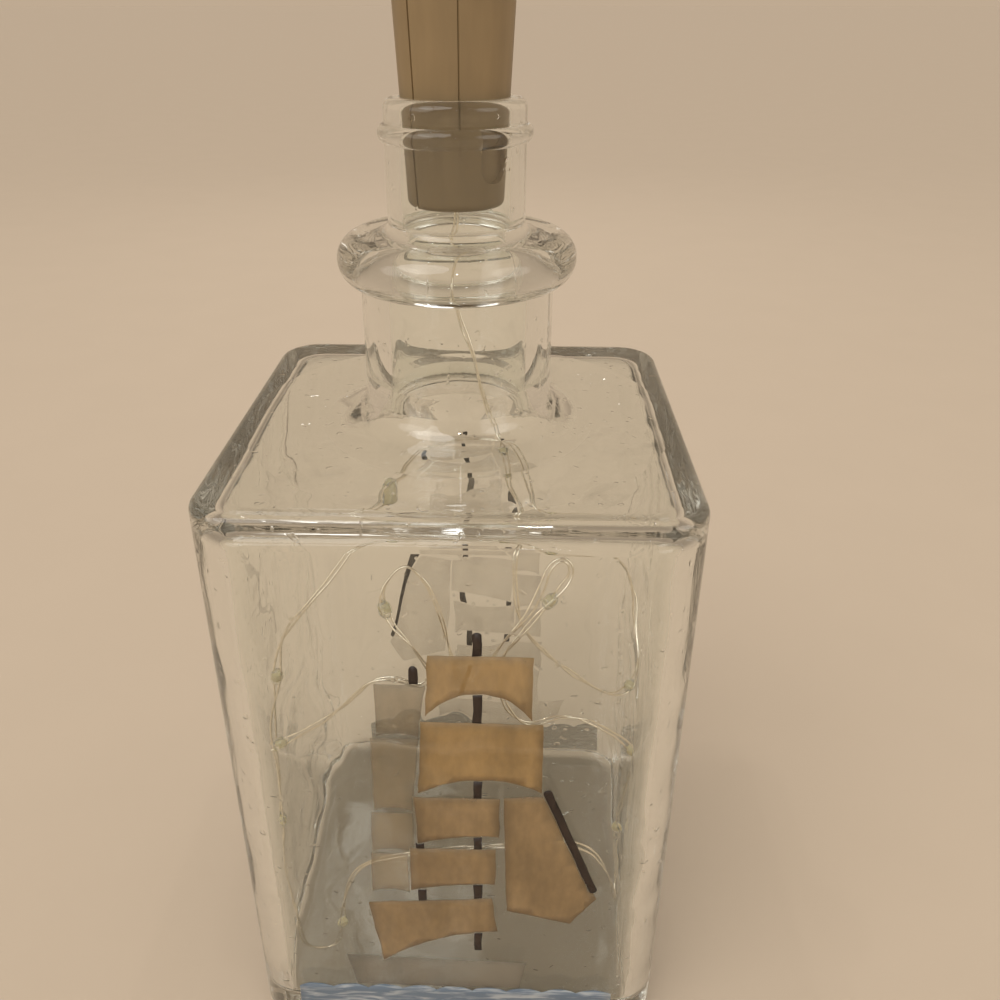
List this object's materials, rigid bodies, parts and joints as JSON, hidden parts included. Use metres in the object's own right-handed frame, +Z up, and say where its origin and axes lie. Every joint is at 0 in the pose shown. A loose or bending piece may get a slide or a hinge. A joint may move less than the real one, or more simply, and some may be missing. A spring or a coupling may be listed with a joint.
{
  "type": "cork bottle light",
  "caption": "Square glass decanter with a battery cork light as its stopper, a string of LEDs inside and a cut-film sailing ship on the glass.",
  "frame": {"origin": "middle of the bottle's base, on the surface that it stands on", "axes": "+Z up through the neck, -Y out of the front wall"},
  "size_m": [0.09, 0.0912, 0.2426],
  "materials": {
    "clear_glass": "pressed clear soda-lime glass, faint grey-green at its edges",
    "stopper_plastic": "moulded tan plastic, satin",
    "cell_steel": "nickel-plated steel",
    "contact_metal": "nickel-plated spring steel",
    "board_laminate": "green solder mask on glass-fibre laminate",
    "resistor_body": "lacquered ceramic",
    "lead_insulation": "PVC insulation",
    "switch_plastic": "moulded black nylon",
    "silver_wire": "enamelled silver-coated copper wire",
    "led_resin": "clear epoxy drop over a yellow chip",
    "sail_film": "translucent tan film, brushed",
    "rear_sail_film": "thin translucent tan film",
    "mast_film": "dark brown film",
    "hull_film": "translucent grey film",
    "sea_film": "translucent blue film with pale streaks"
  },
  "bodies": {
    "bottle": {"glass_bottle": "clear_glass", "led_wire": "silver_wire", "led_01": "led_resin", "led_02": "led_resin", "led_03": "led_resin", "led_04": "led_resin", "led_05": "led_resin", "led_06": "led_resin", "led_07": "led_resin", "led_08": "led_resin", "led_09": "led_resin", "led_10": "led_resin", "led_11": "led_resin", "led_12": "led_resin", "led_13": "led_resin", "back_hull": "hull_film", "back_jib": "sail_film", "back_main_mast": "mast_film", "back_rear_mast": "mast_film", "back_rear_sails": "rear_sail_film", "back_sail_1": "sail_film", "back_sail_2": "sail_film", "back_sail_3": "sail_film", "back_sail_4": "sail_film", "back_sail_5": "sail_film", "back_sea": "sea_film", "back_spar": "mast_film", "front_hull": "hull_film", "front_jib": "sail_film", "front_main_mast": "mast_film", "front_rear_mast": "mast_film", "front_rear_sails": "rear_sail_film", "front_sail_1": "sail_film", "front_sail_2": "sail_film", "front_sail_3": "sail_film", "front_sail_4": "sail_film", "front_sail_5": "sail_film", "front_sea": "sea_film", "front_spar": "mast_film"},
    "cork": {"cork_shell_front": "stopper_plastic", "cork_shell_back": "stopper_plastic", "button_cell_1": "cell_steel", "button_cell_2": "cell_steel", "button_cell_3": "cell_steel", "contact_plate": "contact_metal", "battery_spring": "contact_metal", "circuit_board": "board_laminate", "resistor": "resistor_body", "inner_lead_left": "lead_insulation", "inner_lead_right": "lead_insulation", "switch_body": "switch_plastic", "wire_bushing": "stopper_plastic", "led_wire_lead": "silver_wire"},
    "battery_cover": {"battery_cover": "stopper_plastic"},
    "switch_knob": {"switch_knob": "switch_plastic"}
  },
  "joints": [
    {"name": "cork_lift", "type": "slide", "parent": "bottle", "child": "cork", "axis": [0, 0, 1], "range_m": [0, 0.025], "deforming": ["led_wire_lead"]},
    {"name": "cover_slide", "type": "slide", "parent": "cork", "child": "battery_cover", "axis": [0.0377, -0.0351, 0.9987], "range_m": [0, 0.054]},
    {"name": "switch_slide", "type": "slide", "parent": "cork", "child": "switch_knob", "axis": [0.682, 0.7314, 0], "range_m": [0, 0.003]}
  ]
}
